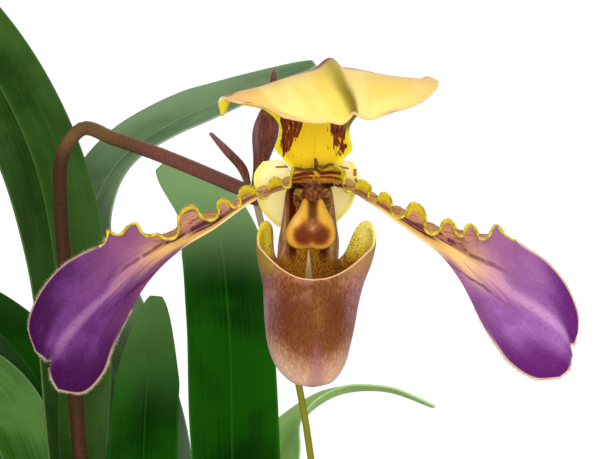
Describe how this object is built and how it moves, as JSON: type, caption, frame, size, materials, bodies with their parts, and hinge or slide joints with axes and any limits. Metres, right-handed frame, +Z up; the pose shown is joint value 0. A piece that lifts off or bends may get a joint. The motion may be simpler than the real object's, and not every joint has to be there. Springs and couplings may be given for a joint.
{
  "type": "potted paphiopedilum orchid",
  "caption": "Slipper orchid in a plain clay pot: waved purple petals, brown pouch, hooded yellow upper sepal, strap leaves.",
  "frame": {"origin": "middle of the flat underside of the pot, where it rests", "axes": "+Z up, the flower faces -Y, +X to the right of someone who looks at the flower"},
  "size_m": [0.2978, 0.2452, 0.4113],
  "materials": {
    "clay": "matte",
    "bark": "rough",
    "leaf_dark": "satin",
    "leaf_light": "satin",
    "stalk": "hairy matte",
    "bud": "hairy matte",
    "ovary": "hairy matte",
    "sepal": "satin",
    "synsepal": "satin",
    "petal": "satin",
    "pouch": "waxy",
    "column": "hairy matte",
    "staminode": "waxy",
    "cane": "satin"
  },
  "bodies": {
    "root": {"pot": "clay", "potting_mix": "bark", "peduncle": "stalk", "ovary": "ovary", "bud": "bud", "floral_bract": "bud", "stake": "cane", "column": "column", "staminode": "staminode", "petal_left": "petal", "petal_right": "petal", "dorsal_sepal": "sepal", "pouch": "pouch", "synsepal": "synsepal", "leaf_a_front_left": "leaf_dark", "leaf_a_front_right": "leaf_dark", "leaf_a_upright": "leaf_dark", "leaf_a_tall_left": "leaf_dark", "leaf_b_front_right": "leaf_dark", "leaf_b_back_left": "leaf_dark", "leaf_b_back_right": "leaf_dark", "leaf_b_upright": "leaf_dark", "leaf_a_low_left": "leaf_light", "leaf_b_right": "leaf_light", "leaf_b_tall_left": "leaf_light", "leaf_b_slim_back": "leaf_light"}
  },
  "joints": []
}
